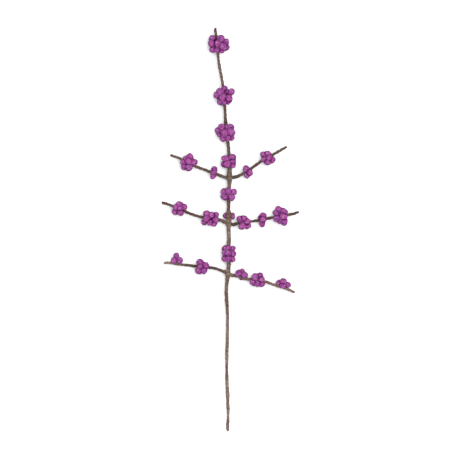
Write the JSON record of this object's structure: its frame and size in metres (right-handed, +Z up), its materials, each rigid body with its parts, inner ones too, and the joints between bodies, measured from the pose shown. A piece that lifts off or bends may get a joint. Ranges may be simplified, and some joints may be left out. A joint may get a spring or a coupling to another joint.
{
  "type": "beautyberry sprig",
  "caption": "Felted beautyberry sprig lying flat: a slender brown wrapped stem with paired side twigs, and bunches of round purple berries seated along them, for a vase, wreath or table.",
  "frame": {"origin": "on the table, under the middle of the sprig's box as it lies flat", "axes": "+Z up from the table, +Y along the stem from its cut end to its tip, +X to the right for a viewer who looks down with the tip at the top"},
  "size_m": [0.172, 0.5051, 0.0228],
  "materials": {
    "wrapped_stem": "matte",
    "berry_felt": "matte"
  },
  "bodies": {
    "root": {"stem": "wrapped_stem", "stem_bunch_1": "berry_felt", "stem_bunch_2": "berry_felt", "stem_bunch_3": "berry_felt", "stem_bunch_4": "berry_felt", "stem_bunch_5": "berry_felt", "stem_bunch_6": "berry_felt", "stem_bunch_7": "berry_felt", "upper_left_bunch_1": "berry_felt", "upper_left_bunch_2": "berry_felt", "upper_right_bunch_1": "berry_felt", "upper_right_bunch_2": "berry_felt", "middle_left_bunch_1": "berry_felt", "middle_left_bunch_2": "berry_felt", "middle_right_bunch_1": "berry_felt", "middle_right_bunch_2": "berry_felt", "middle_right_bunch_3": "berry_felt", "lower_left_bunch_1": "berry_felt", "lower_left_bunch_2": "berry_felt", "lower_right_bunch_1": "berry_felt", "lower_right_bunch_2": "berry_felt", "lower_right_bunch_3": "berry_felt"}
  },
  "joints": []
}
